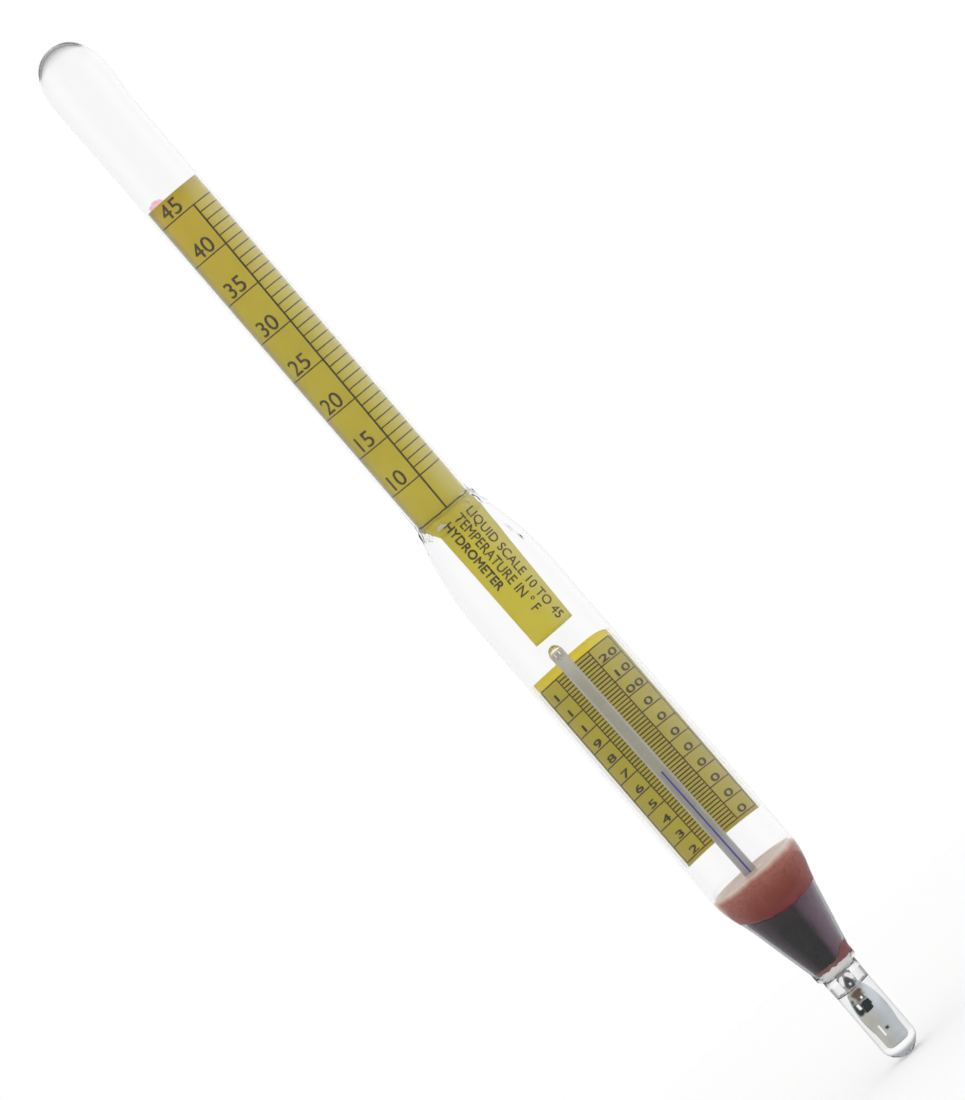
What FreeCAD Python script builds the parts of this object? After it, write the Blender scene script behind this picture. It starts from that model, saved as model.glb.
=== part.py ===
"""Thermohydrometer: a glass float with a degree scale in its stem and a thermometer in its body.

Millimetres. +Z runs up the stem, the origin is the bulb's lowest point, and the scales face -Y.
"""

import FreeCAD, Part
import math
import os
import re

import Sketcher

# name, value, what it is. Heights are above the bulb's lowest point. Angles are in degrees.
DIMENSIONS = [
    ("total_length", 305.0, "bulb's lowest point to the stem's top"),
    # stem
    ("stem_radius", 7.65, "outside of the stem"),
    ("stem_wall", 0.45, "stem glass"),
    ("stem_bottom", 165.0, "lower end of the stem tube, inside the shoulder's lip"),
    ("bulge_start", 284.0, "where the stem begins to swell"),
    ("bulge_height", 294.5, "widest place of the closed end"),
    ("bulge_radius", 8.0, "outside radius there"),
    ("dome_side_radius", 14.0, "side arc of the outer dome"),
    ("dome_inner_side_radius", 13.0, "side arc of the inner dome"),
    ("tip_wall", 1.3, "thick glass at the top"),
    # float chamber
    ("body_radius", 12.0, "outside of the barrel"),
    ("body_wall", 0.6, "chamber glass"),
    ("barrel_bottom", 56.0, "lower end of the straight barrel"),
    ("barrel_top", 139.0, "upper end of the straight barrel"),
    ("shoulder_radius", 8.8, "outside, where the shoulder turns from round to hollow"),
    ("shoulder_height", 162.1, "height of that turn"),
    ("lip_hollow_radius", 40.0, "hollow arc up to the lip"),
    ("lip_thickness", 0.12, "lip glass at its upper edge"),
    ("lip_top", 167.2, "upper edge of the lip"),
    ("hip_radius", 10.8, "outside, where the taper turns from round to hollow"),
    ("hip_height", 49.1, "height of that turn"),
    ("hip_hollow_radius", 47.8, "hollow arc down to the cone"),
    ("cone_top_radius", 9.31, "outside of the cone's upper end"),
    ("cone_top_height", 44.1, "upper end of the cone"),
    ("collar_radius", 5.65, "outside of the collar under the cone"),
    ("collar_top", 28.6, "cone ends here"),
    ("collar_bottom", 26.6, "collar rounds in below this"),
    ("collar_rounding", 1.0, "underside of the collar"),
    ("neck_top_radius", 4.75, "neck, just under the collar"),
    ("neck_top_height", 25.6, "upper end of the neck"),
    ("neck_wall", 0.61, "neck glass at the seal"),
    # thermometer bulb and its liquid
    ("seal_height", 20.5, "the neck is fused to the bulb's rim here"),
    ("bulb_radius", 4.61, "outside of the bulb, and of the neck at the seal"),
    ("groove_radius", 1.95, "inner edge of the groove inside the rim"),
    ("groove_rounding", 1.5, "bottom of that groove"),
    ("spigot_radius", 1.9, "top of the bulb's spigot"),
    ("spigot_top", 24.6, "the capillary tube stands in the spigot"),
    ("reservoir_bottom", 3.7, "lowest point of the liquid"),
    ("reservoir_foot_radius", 2.08, "foot"),
    ("reservoir_foot_rounding", 0.9, "rounded edge of the foot"),
    ("reservoir_waist_radius", 2.12, "above the foot"),
    ("reservoir_waist_height", 8.0, "height of the waist"),
    ("reservoir_flank_radius", 33.0, "long bulging arc of the flank"),
    ("reservoir_shoulder_radius", 1.8, "where the flank ends"),
    ("reservoir_shoulder_height", 19.1, "height of that place"),
    ("reservoir_tip_radius", 0.3, "tip, under the bore"),
    ("reservoir_tip_height", 23.3, "upper end of the reservoir"),
    # capillary tube, in a frame that leans about the seal
    ("lean_angle", 0.95, "degrees that the tube leans towards -X"),
    ("tube_radius", 1.7, "outside of the capillary tube"),
    ("tube_bottom", 23.8, "lower end of the tube"),
    ("swell_bottom", 120.5, "where the tube begins to swell"),
    ("swell_radius", 1.85, "widest place of its closed end"),
    ("swell_height", 123.3, "height of that place"),
    ("swell_arc_radius", 26.0, "arc up to the widest place"),
    ("tube_dome_side_radius", 3.0, "side arc of the tube's dome"),
    ("tube_top", 125.7, "top of the tube"),
    ("chamber_radius", 0.55, "expansion chamber"),
    ("chamber_top", 124.0, "its top"),
    ("chamber_neck_height", 122.6, "where it narrows"),
    ("chamber_bottom", 121.8, "where it meets the bore"),
    ("bore_radius", 0.22, "bore of the capillary"),
    ("enamel_width", 2.4, "white strip behind the bore"),
    ("enamel_thickness", 0.25, "strip"),
    ("enamel_depth", 0.62, "from the bore's axis back to the strip"),
    ("enamel_top", 123.9, "upper end of the strip"),
    # thread of liquid, at 63 degrees Fahrenheit
    ("column_radius", 0.18, "liquid in the bore"),
    ("column_bottom", 24.4, "lower end of the thread"),
    ("column_top", 87.1, "reading height"),
    ("column_travel_down", 20.3, "from 63 down to 20 degrees Fahrenheit"),
    # fillings of the lower end
    ("packing_bottom", 25.8, "fibre packing"),
    ("packing_top", 27.2, "fibre packing meets the lower wax"),
    ("lower_wax_top", 29.6, "lower wax meets the ballast"),
    ("ballast_top", 46.3, "ballast meets the sealing wax, on the axis"),
    ("ballast_tilt", 9.1, "degrees that the ballast's top leans down towards +X"),
    # paper scale in the stem
    ("paper_radius", 7.15, "outside of the paper roll"),
    ("paper_thickness", 0.12, "paper"),
    ("paper_top", 261.4, "upper edge of the roll"),
    ("paper_bottom", 164.9, "lower edge of the roll"),
    ("roll_gap", 3.0, "degrees left open at the back of the roll"),
    ("tongue_top", 161.3, "the tongue has its full shape from here down"),
    ("tongue_bottom", 128.1, "lower edge of the tongue"),
    ("tongue_curve_radius", 10.0, "the tongue is curved less than the roll"),
    # card scale behind the capillary tube
    ("card_curve_radius", 16.0, "curvature of the card"),
    ("card_thickness", 0.25, "card"),
    ("card_half_width", 10.9, "half of its chord"),
    ("card_back", 7.4, "from the axis back to the card's middle"),
    ("card_bottom", 65.8, "lower edge"),
    ("card_top", 121.2, "upper edge"),
    # dabs that hold the paper roll
    ("adhesive_thickness", 0.45, "dab inside the stem glass, on the roll's upper edge"),
    ("adhesive_height", 1.6, "dab"),
    ("adhesive_sweep", 36.0, "degrees round the stem"),
    ("cement_radius", 7.62, "outside of the dab in front of the tongue"),
    ("cement_thickness", 0.4, "dab"),
    ("cement_bottom", 162.7, "lower edge of the dab"),
    ("cement_height", 1.5, "dab"),
    ("cement_sweep", 20.0, "degrees round the stem"),
]

doc = FreeCAD.newDocument("thermohydrometer")
nodes = []


def make_sheet():
    """Put every driving dimension into one spreadsheet, each under its own alias."""
    sheet = doc.addObject("Spreadsheet::Sheet", "Dimensions")
    for row, (alias, value, meaning) in enumerate(DIMENSIONS, start=1):
        sheet.set(f"A{row}", alias)
        sheet.set(f"B{row}", str(value))
        sheet.set(f"C{row}", meaning)
        sheet.setAlias(f"B{row}", alias)
    doc.recompute()
    return sheet


dims = make_sheet()
ALIASES = {alias for alias, _, _ in DIMENSIONS}


def bound(expression):
    """Write each alias in an expression as a reference to the sheet."""
    def reference(match):
        word = match.group(0)
        return "Dimensions." + word if word in ALIASES else word
    return re.sub(r"[a-z_]+", reference, expression)


def number(expression):
    """The present value of a sheet expression."""
    return float(dims.evalExpression(bound(expression)))


def lean_placement(height_expression="seal_height"):
    """The capillary tube's frame: it leans about the seal, with its origin at a height along it."""
    lean = FreeCAD.Rotation(FreeCAD.Vector(0, 1, 0), -number("lean_angle"))
    pivot = FreeCAD.Vector(0, 0, number("seal_height"))
    along = FreeCAD.Vector(0, 0, number(height_expression) - number("seal_height"))
    return FreeCAD.Placement(pivot + lean.multVec(along), lean)


def arc_between(start, end, radius):
    """A sketch arc from start to end. A positive radius turns left on the way, a negative one right."""
    middle = (start + end) * 0.5
    half = (end - start) * 0.5
    to_centre = math.sqrt(radius ** 2 - half.Length ** 2)
    left = FreeCAD.Vector(-half.y, half.x, 0).normalize()
    centre = middle + left * math.copysign(to_centre, radius)
    first, last = (start, end) if radius > 0 else (end, start)
    first_angle = math.atan2(first.y - centre.y, first.x - centre.x)
    last_angle = math.atan2(last.y - centre.y, last.x - centre.x)
    circle = Part.Circle(centre, FreeCAD.Vector(0, 0, 1), abs(radius))
    return Part.ArcOfCircle(circle, first_angle, last_angle)


def fix_corner(sketch, edge, corner, radius, height, name):
    """Hold one corner of an outline at its radius and height from the sheet."""
    for kind, axis, expression, value in (
        ("DistanceX", -2, radius, number(radius)),
        ("DistanceY", -1, height, number(height)),
    ):
        if value == 0:
            sketch.addConstraint(Sketcher.Constraint("PointOnObject", edge, corner, axis))
            continue
        index = sketch.addConstraint(Sketcher.Constraint(kind, -1, 1, edge, corner, value))
        sketch.renameConstraint(index, f"{kind}_{name}")
        sketch.setExpression(f"Constraints.{kind}_{name}", bound(expression))


def lathe(label, outline, placement=FreeCAD.Placement()):
    """A body turned about its own Z axis.

    The outline is a closed run of (radius, height, bend) expressions. Bend is the radius of the
    arc to the next corner, positive where it turns left, or None where the edge is straight.
    """
    body = doc.addObject("PartDesign::Body", label)
    body.Label = label
    plane = next(item for item in body.Origin.OriginFeatures if item.Role == "XZ_Plane")
    sketch = body.newObject("Sketcher::SketchObject", label + "_outline")
    sketch.AttachmentSupport = [(plane, "")]
    sketch.MapMode = "FlatFace"
    corners = [FreeCAD.Vector(number(radius), number(height), 0) for radius, height, _ in outline]
    ends = []
    for index, (_, _, bend) in enumerate(outline):
        start = corners[index]
        end = corners[(index + 1) % len(corners)]
        if bend is None:
            sketch.addGeometry(Part.LineSegment(start, end), False)
            ends.append((1, 2))
            continue
        radius = number(bend)
        sketch.addGeometry(arc_between(start, end, radius), False)
        ends.append((1, 2) if radius > 0 else (2, 1))
    for index, (radius, height, bend) in enumerate(outline):
        following = (index + 1) % len(outline)
        sketch.addConstraint(
            Sketcher.Constraint("Coincident", index, ends[index][1], following, ends[following][0]))
        fix_corner(sketch, index, ends[index][0], radius, height, str(index))
        if bend is not None:
            arc = sketch.addConstraint(Sketcher.Constraint("Radius", index, abs(number(bend))))
            sketch.renameConstraint(arc, f"Radius_{index}")
            sketch.setExpression(f"Constraints.Radius_{index}", bound(f"abs({bend})"))
    turned = body.newObject("PartDesign::Revolution", label + "_turned")
    turned.Profile = sketch
    turned.ReferenceAxis = (sketch, ["V_Axis"])
    turned.Angle = 360.0
    body.Placement = placement
    return body


def reverse(chain):
    """The same run of corners and arcs, walked the other way."""
    corners = [(radius, height) for radius, height, _ in chain][::-1]
    bends = [bend for _, _, bend in chain[:-1]][::-1] + [None]
    turned = [None if bend is None else f"-1 * ({bend})" for bend in bends]
    return [(radius, height, bend) for (radius, height), bend in zip(corners, turned)]


def tangent_bend(run, drop):
    """Radius of an arc that leaves a straight wall smoothly and draws in by drop over run."""
    return f"((({run}) ^ 2 + ({drop}) ^ 2) / (2 * ({drop})))"


def cylinder(label, radius, bottom, height, sweep="360", start_angle=0.0, centre_y=0.0):
    """A cylinder, or a wedge of one, on a vertical axis."""
    solid = doc.addObject("Part::Cylinder", label)
    solid.Placement = FreeCAD.Placement(
        FreeCAD.Vector(0, centre_y, 0), FreeCAD.Rotation(FreeCAD.Vector(0, 0, 1), start_angle))
    solid.setExpression("Radius", bound(radius))
    solid.setExpression("Height", bound(height))
    solid.setExpression("Angle", bound(sweep))
    solid.setExpression("Placement.Base.z", bound(bottom))
    return solid


def combine(kind, label, base, tool):
    """A Part boolean of two objects: Cut, Common or Fuse."""
    result = doc.addObject("Part::" + kind, label)
    result.Label = label
    result.Base = base
    result.Tool = tool
    return result


def ring_wedge(label, radius, thickness, bottom, height, sweep, start_angle, centre_y=0.0):
    """A thin curved sheet: a wedge of a tube on a vertical axis."""
    outer = cylinder(label + "_outer", radius, bottom, height, sweep, start_angle, centre_y)
    inner = cylinder(label + "_inner", f"{radius} - {thickness}", bottom, height, sweep,
                     start_angle, centre_y)
    return combine("Cut", label, outer, inner)


def keep(label, piece):
    """Name a finished sub-part and put it on the list of nodes."""
    piece.Label = label
    nodes.append(piece)
    return piece


# ---------------------------------------------------------------- glass of the float

def oval_dome(half_width, rise, base_height, side_radius):
    """Two arcs over a round end: a long one up the side and a short one over the top.

    Returns the radius and height of the corner between them, and the top arc's radius.
    """
    between_centres = (f"((({side_radius} - ({half_width})) ^ 2 + ({side_radius} - ({rise})) ^ 2)"
                       f" / (2 * ({side_radius} - ({rise}))))")
    corner_radius = (f"{half_width} - {side_radius}"
                     f" + {side_radius} * ({side_radius} - ({half_width})) / {between_centres}")
    corner_height = (f"{base_height} + {side_radius}"
                     f" * ({between_centres} - {side_radius} + ({rise})) / {between_centres}")
    top_radius = f"({side_radius} - {between_centres})"
    return corner_radius, corner_height, top_radius


def stem_side(inset, top_height, side_radius):
    """One surface of the stem, from its lower end to its top on the axis."""
    widest = f"bulge_radius - {inset}"
    corner_radius, corner_height, top_radius = oval_dome(
        widest, f"{top_height} - bulge_height", "bulge_height", side_radius)
    swell = tangent_bend("bulge_height - bulge_start", "bulge_radius - stem_radius")
    return [
        (f"stem_radius - {inset}", "stem_bottom", None),
        (f"stem_radius - {inset}", "bulge_start", swell),
        (widest, "bulge_height", side_radius),
        (corner_radius, corner_height, top_radius),
        ("0", top_height, None),
    ]


def make_stem_tube():
    outside = stem_side("0", "total_length", "dome_side_radius")
    inside = stem_side("stem_wall", "(total_length - tip_wall)", "dome_inner_side_radius")
    keep("stem_tube", lathe("stem_tube", outside + reverse(inside)))


def body_side(inset):
    """The part of the chamber's outline that its outside and inside share, from collar to shoulder."""
    hip_bend = tangent_bend("barrel_bottom - hip_height", "body_radius - hip_radius")
    shoulder_bend = tangent_bend("shoulder_height - barrel_top", "body_radius - shoulder_radius")
    return [
        (f"collar_radius - {inset}", "collar_top", None),
        (f"cone_top_radius - {inset}", "cone_top_height", "-1 * hip_hollow_radius"),
        (f"hip_radius - {inset}", "hip_height", hip_bend),
        (f"body_radius - {inset}", "barrel_bottom", None),
        (f"body_radius - {inset}", "barrel_top", shoulder_bend),
    ]


def neck_inside():
    """Inside of the neck and collar, from the seal up."""
    return [
        ("bulb_radius - neck_wall", "seal_height", None),
        ("neck_top_radius - body_wall", "neck_top_height", None),
        ("collar_radius - body_wall", "collar_bottom + body_wall", None),
    ]


def make_body_tube():
    outside = [
        ("bulb_radius", "seal_height", None),
        ("neck_top_radius", "neck_top_height", "collar_rounding"),
        ("collar_radius", "collar_bottom", None),
    ] + body_side("0") + [
        ("shoulder_radius", "shoulder_height", "-1 * lip_hollow_radius"),
        ("stem_radius + lip_thickness", "lip_top", None),
    ]
    inside = neck_inside() + body_side("body_wall") + [
        ("shoulder_radius - body_wall", "shoulder_height", None),
        ("stem_radius", "stem_bottom", None),
        ("stem_radius", "lip_top", None),
    ]
    keep("body_tube", lathe("body_tube", outside + reverse(inside)))


# ---------------------------------------------------------------- thermometer

def make_reservoir():
    """Shape of the liquid in the bulb."""
    return lathe("reservoir", [
        ("0", "reservoir_bottom", None),
        ("reservoir_foot_radius - reservoir_foot_rounding", "reservoir_bottom",
         "reservoir_foot_rounding"),
        ("reservoir_foot_radius", "reservoir_bottom + reservoir_foot_rounding", None),
        ("reservoir_waist_radius", "reservoir_waist_height", "reservoir_flank_radius"),
        ("reservoir_shoulder_radius", "reservoir_shoulder_height", None),
        ("reservoir_tip_radius", "reservoir_tip_height", None),
        ("0", "reservoir_tip_height", None),
    ])


def make_column_way():
    """The bore carried down through the bulb, as far as the thread of liquid sinks."""
    way = doc.addObject("Part::Cylinder", "column_way")
    way.setExpression("Radius", bound("bore_radius"))
    way.setExpression("Height", bound("spigot_top - column_bottom + column_travel_down + 1"))
    way.Placement = lean_placement("column_bottom - column_travel_down - 0.3")
    return way


def make_tube_space():
    """The room that the capillary tube takes, from its lower end to above the wax."""
    space = doc.addObject("Part::Cylinder", "tube_space")
    space.setExpression("Radius", bound("tube_radius"))
    space.setExpression("Height", bound("barrel_bottom - tube_bottom + 4"))
    space.Placement = lean_placement("tube_bottom")
    return space


def make_thermometer_bulb(reservoir, column_way, tube_space):
    blank = lathe("bulb_blank", [
        ("0", "0", "bulb_radius"),
        ("bulb_radius", "bulb_radius", None),
        ("bulb_radius", "seal_height", None),
        ("bulb_radius - neck_wall", "seal_height", "-1 * groove_rounding"),
        ("groove_radius", "seal_height", None),
        ("spigot_radius", "spigot_top", None),
        ("0", "spigot_top", None),
    ])
    hollow = combine("Cut", "bulb_hollow", blank, reservoir)
    bored = combine("Cut", "bulb_bored", hollow, column_way)
    keep("thermometer_bulb", combine("Cut", "thermometer_bulb", bored, tube_space))


def make_bulb_fill(reservoir, column_way):
    keep("bulb_fill", combine("Cut", "bulb_fill", reservoir, column_way))


def make_enamel_strip():
    """White enamel behind the bore. It is a solid of its own, in a slot of the tube."""
    strip = doc.addObject("Part::Box", "enamel_strip")
    strip.setExpression("Length", bound("enamel_width"))
    strip.setExpression("Width", bound("enamel_thickness"))
    strip.setExpression("Height", bound("enamel_top - tube_bottom"))
    corner = FreeCAD.Vector(-number("enamel_width") / 2, number("enamel_depth"), 0)
    strip.Placement = lean_placement("tube_bottom") * FreeCAD.Placement(corner, FreeCAD.Rotation())
    return keep("enamel_strip", strip)


def make_thermometer_tube(enamel_strip):
    """Capillary tube, bored from its lower end to the expansion chamber, with the enamel's slot."""
    dome_corner_radius, dome_corner_height, dome_top_radius = oval_dome(
        "swell_radius", "tube_top - swell_height", "swell_height", "tube_dome_side_radius")
    corners = [
        ("bore_radius", "tube_bottom", None),
        ("tube_radius", "tube_bottom", None),
        ("tube_radius", "swell_bottom", "swell_arc_radius"),
        ("swell_radius", "swell_height", "tube_dome_side_radius"),
        (dome_corner_radius, dome_corner_height, dome_top_radius),
        ("0", "tube_top", None),
        ("0", "chamber_top", "-1 * chamber_radius"),
        ("chamber_radius", "chamber_top - chamber_radius", None),
        ("chamber_radius", "chamber_neck_height", None),
        ("bore_radius", "chamber_bottom", None),
    ]
    outline = [(radius, f"{height} - seal_height", bend) for radius, height, bend in corners]
    blank = lathe("tube_blank", outline, lean_placement())
    keep("thermometer_tube", combine("Cut", "thermometer_tube", blank, enamel_strip))


def make_liquid_column():
    """Thread of liquid at rest. It slides along the bore, clear of the glass all round."""
    column = doc.addObject("Part::Cylinder", "liquid_column")
    column.setExpression("Radius", bound("column_radius"))
    column.setExpression("Height", bound("column_top - column_bottom"))
    column.Placement = lean_placement("column_bottom")
    keep("liquid_column", column)


# ---------------------------------------------------------------- fillings of the lower end

def make_fillings(tube_space):
    """Packing, lower wax, ballast and sealing wax: layers that fill the glass from the collar up."""
    room = lathe("filled_room", [("0", "seal_height", None)] + neck_inside()
                 + body_side("body_wall")[:-1] + [("0", "barrel_bottom", None)])
    below = doc.addObject("Part::Box", "below_ballast_top")
    for side in ("Length", "Width", "Height"):
        below.setExpression(side, bound("4 * body_radius"))
    size = 4 * number("body_radius")
    tilt = FreeCAD.Rotation(FreeCAD.Vector(0, 1, 0), number("ballast_tilt"))
    corner = tilt.multVec(FreeCAD.Vector(-size / 2, -size / 2, -size))
    below.Placement = FreeCAD.Placement(
        FreeCAD.Vector(0, 0, number("ballast_top")) + corner, tilt)

    def layer(label, shape):
        keep(label, combine("Cut", label, shape, tube_space))

    layer("neck_packing", combine("Common", "packing_layer", room, cylinder(
        "packing_slab", "body_radius", "packing_bottom", "packing_top - packing_bottom")))
    layer("lower_wax", combine("Common", "lower_wax_layer", room, cylinder(
        "lower_wax_slab", "body_radius", "packing_top", "lower_wax_top - packing_top")))
    lower_room = combine("Common", "room_below_ballast_top", room, below)
    layer("ballast_shot", combine("Common", "ballast_layer", lower_room, cylinder(
        "ballast_slab", "body_radius", "lower_wax_top", "barrel_bottom - lower_wax_top")))
    layer("sealing_wax", combine("Cut", "sealing_wax_layer", room, below))


# ---------------------------------------------------------------- paper scales and their dabs

def paper_wire(radius, centre_y, left, right, height):
    """Closed outline of the paper at one height: a thin arc from x = left to x = right."""
    thickness = number("paper_thickness")
    centre = FreeCAD.Vector(0, centre_y, height)

    def at(arc_radius, edge_x):
        angle = math.asin(edge_x / radius)
        return centre + FreeCAD.Vector(math.sin(angle), -math.cos(angle), 0) * arc_radius

    def arc(arc_radius, first_x, last_x):
        middle = at(arc_radius, (first_x + last_x) / 2)
        return Part.Arc(at(arc_radius, first_x), middle, at(arc_radius, last_x)).toShape()

    inner = radius - thickness
    return Part.Wire([
        arc(radius, left, right),
        Part.makeLine(at(radius, right), at(inner, right)),
        arc(inner, right, left),
        Part.makeLine(at(inner, left), at(radius, left)),
    ])


def make_stem_scale():
    """Rolled paper scale, with a tongue that opens out below the stem and hangs into the body."""
    roll = ring_wedge("paper_roll", "paper_radius", "paper_thickness", "paper_bottom",
                      "paper_top - paper_bottom", "360 - roll_gap", 90 + number("roll_gap") / 2)
    roll_radius = number("paper_radius")
    curve = number("tongue_curve_radius")
    centre_y = curve - roll_radius
    sections = [
        paper_wire(roll_radius, 0, -7.0, 7.1, number("paper_bottom")),
        paper_wire(curve, centre_y, -4.5, 7.4, number("tongue_top")),
        paper_wire(curve, centre_y, -4.1, 6.7, number("tongue_bottom")),
    ]
    tongue = doc.addObject("Part::Feature", "paper_tongue")
    tongue.Shape = Part.makeLoft(sections, True, True)
    keep("stem_scale", combine("Fuse", "stem_scale", roll, tongue))


def make_thermometer_scale():
    """Curved card behind the capillary tube, hollow towards the reader."""
    half_angle = math.degrees(math.asin(number("card_half_width / card_curve_radius")))
    card = ring_wedge("thermometer_scale", "card_curve_radius", "card_thickness", "card_bottom",
                      "card_top - card_bottom", str(2 * half_angle), 90 - half_angle,
                      number("card_back - card_curve_radius"))
    keep("thermometer_scale", card)


def make_dabs():
    """Dab on the roll's upper edge, and dab of cement in front of the tongue's root."""
    keep("scale_adhesive", ring_wedge(
        "scale_adhesive", "(stem_radius - stem_wall)", "adhesive_thickness", "paper_top",
        "adhesive_height", "adhesive_sweep", 213.5))
    keep("tongue_cement", ring_wedge(
        "tongue_cement", "cement_radius", "cement_thickness", "cement_bottom",
        "cement_height", "cement_sweep", 239.0))


# ---------------------------------------------------------------- the document

make_stem_tube()
make_body_tube()
reservoir_shape = make_reservoir()
way_shape = make_column_way()
space_shape = make_tube_space()
make_thermometer_bulb(reservoir_shape, way_shape, space_shape)
make_bulb_fill(reservoir_shape, way_shape)
make_thermometer_tube(make_enamel_strip())
make_liquid_column()
make_fillings(space_shape)
make_stem_scale()
make_thermometer_scale()
make_dabs()
doc.recompute()

for item in doc.Objects:
    if "Invalid" in item.State or "Error" in item.State:
        raise RuntimeError(f"{item.Label} failed: {item.State}")
for node in nodes:
    if node.Shape.isNull() or not node.Shape.isValid():
        raise RuntimeError(f"{node.Label} has no valid shape")

os.makedirs("parts", exist_ok=True)
for node in nodes:
    node.Shape.exportStep(os.path.join("parts", node.Label + ".step"))
    print(f"{node.Label:20s} {len(node.Shape.Solids)} solid, {node.Shape.Volume:10.2f} mm3")
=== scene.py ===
"""Looks of the thermohydrometer.

Sizes are in millimetres, in the frame of the CAD part: +Z runs up the stem, the origin is the bulb's
lowest point, and the scales face -Y. Meshes are built in millimetres and scaled to metres at the end.
"""

import math

import bmesh
import bpy
from mathutils import Matrix, Vector, noise


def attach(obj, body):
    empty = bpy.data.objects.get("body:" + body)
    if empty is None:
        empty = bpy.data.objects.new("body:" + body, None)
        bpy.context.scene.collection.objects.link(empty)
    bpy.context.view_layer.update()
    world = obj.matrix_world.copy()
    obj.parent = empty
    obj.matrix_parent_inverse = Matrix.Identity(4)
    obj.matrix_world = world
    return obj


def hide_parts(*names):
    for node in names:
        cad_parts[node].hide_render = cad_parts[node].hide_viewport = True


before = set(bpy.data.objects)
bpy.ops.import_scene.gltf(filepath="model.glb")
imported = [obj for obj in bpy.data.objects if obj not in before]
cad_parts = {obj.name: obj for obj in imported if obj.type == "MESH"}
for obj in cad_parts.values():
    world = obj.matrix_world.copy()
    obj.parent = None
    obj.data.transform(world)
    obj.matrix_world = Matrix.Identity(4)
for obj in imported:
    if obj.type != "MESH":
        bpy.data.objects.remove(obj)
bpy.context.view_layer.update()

MM = 0.001
SEGMENTS = 144          # facets round a turned piece
ROW = 3.0               # longest straight step of an outline
ARC_STEP = 0.5          # longest step along an arc

# Glass
LENGTH = 305.0          # from the bulb's lowest point to the stem's top
BULB_RADIUS = 4.61
SEAL = 20.5             # the neck is fused to the bulb here
COLLAR_RADIUS = 5.65
CHAMBER_WALL = 0.6
CONE_TOP = 49.1
CONE_TOP_RADIUS = 10.8
BARREL_RADIUS = 12.0    # the chamber's widest part
BARREL_FOOT = 56.0
BARREL_TOP = 139.0
SHOULDER_TOP = 162.1    # the shoulder's arc ends here, and the fused seam begins
SHOULDER_DROP = 3.2     # how far it has drawn in by then
STEM_FOOT = 167.2       # the stem's outside goes on from the seam here
STEM_FOOT_INSIDE = 166.6
STEM_RADIUS = 7.65
STEM_WALL = 0.45
STEM_BULGE = 0.35       # the stem's end is wider than the rest
BULGE_FOOT = 284.0
BULGE_TOP = 294.5
WET = -0.02             # wax wets the glass, so it reaches this far into it

# Capillary tube
LEAN = math.radians(0.95)   # it leans towards -X about the seal
TUBE_RADIUS = 1.7
TUBE_FOOT = 24.6
TUBE_HEAD = 123.3       # the tube's swollen end is widest here
TUBE_HEAD_RADIUS = 1.85
TUBE_TOP = 125.7

# Paper and print
ROLL_RADIUS = 7.15      # printed face of the paper roll
ROLL_FOOT = 164.9
ROLL_TOP = 261.4
TONGUE_RADIUS = 10.0
TONGUE_CENTRE_Y = 2.85
TONGUE_TOP = 161.3
CARD_RADIUS = 15.75     # printed, hollow face of the card
CARD_CENTRE_Y = -8.6
INK = 0.02              # ink stands this far off the paper
SUNK = -0.01            # and reaches this far into it
MEDIUM = ((-0.04, 0.03), (0.04, -0.03))     # shifts of a lettering's strikes
BOLD = ((-0.09, -0.06), (0.09, -0.06), (-0.09, 0.06), (0.09, 0.06))

WHITE = (255, 255, 255)
BLACK = (0, 0, 0)


# ---- outlines and turned meshes

def tangent_bend(run, drop):
    """Radius of an arc that leaves a straight wall smoothly and draws in by drop over run."""
    return (run ** 2 + drop ** 2) / (2 * drop)


def oval_dome(half_width, rise, base_height, side_radius):
    """Corner between the side arc and the top arc of a round end, and the top arc's radius."""
    between = (((side_radius - half_width) ** 2 + (side_radius - rise) ** 2)
               / (2 * (side_radius - rise)))
    corner_radius = half_width - side_radius + side_radius * (side_radius - half_width) / between
    corner_height = base_height + side_radius * (between - side_radius + rise) / between
    return corner_radius, corner_height, side_radius - between


def reverse(chain):
    """The same run of corners and arcs, walked the other way."""
    corners = [(radius, height) for radius, height, _ in chain][::-1]
    bends = [bend for _, _, bend in chain[:-1]][::-1] + [None]
    return [(radius, height, None if bend is None else -bend)
            for (radius, height), bend in zip(corners, bends)]


def arc_points(start, end, bend, step):
    """Points between start and end on an arc that turns left where bend is positive."""
    half = (end - start) / 2
    to_centre = math.sqrt(max(bend ** 2 - half.length ** 2, 0.0))
    left = Vector((-half.y, half.x)).normalized()
    centre = (start + end) / 2 + left * math.copysign(to_centre, bend)
    first = math.atan2(start.y - centre.y, start.x - centre.x)
    last = math.atan2(end.y - centre.y, end.x - centre.x)
    sweep = (last - first) % math.tau
    if bend < 0:
        sweep -= math.tau
    count = max(2, math.ceil(abs(sweep * bend) / step), math.ceil(abs(sweep) / 0.12))
    points = []
    for index in range(1, count):
        angle = first + sweep * index / count
        points.append(centre + Vector((math.cos(angle), math.sin(angle))) * abs(bend))
    return points


def trace(chain, row=ROW, arc_step=ARC_STEP):
    """Points along an open run of (radius, height, bend)."""
    points = []
    for (radius, height, bend), (next_radius, next_height, _) in zip(chain, chain[1:]):
        start = Vector((radius, height))
        end = Vector((next_radius, next_height))
        points.append(start)
        if bend is None:
            count = max(1, math.ceil((end - start).length / row))
            points.extend(start.lerp(end, index / count) for index in range(1, count))
        else:
            points.extend(arc_points(start, end, bend, arc_step))
    points.append(Vector(chain[-1][:2]))
    return points


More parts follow.
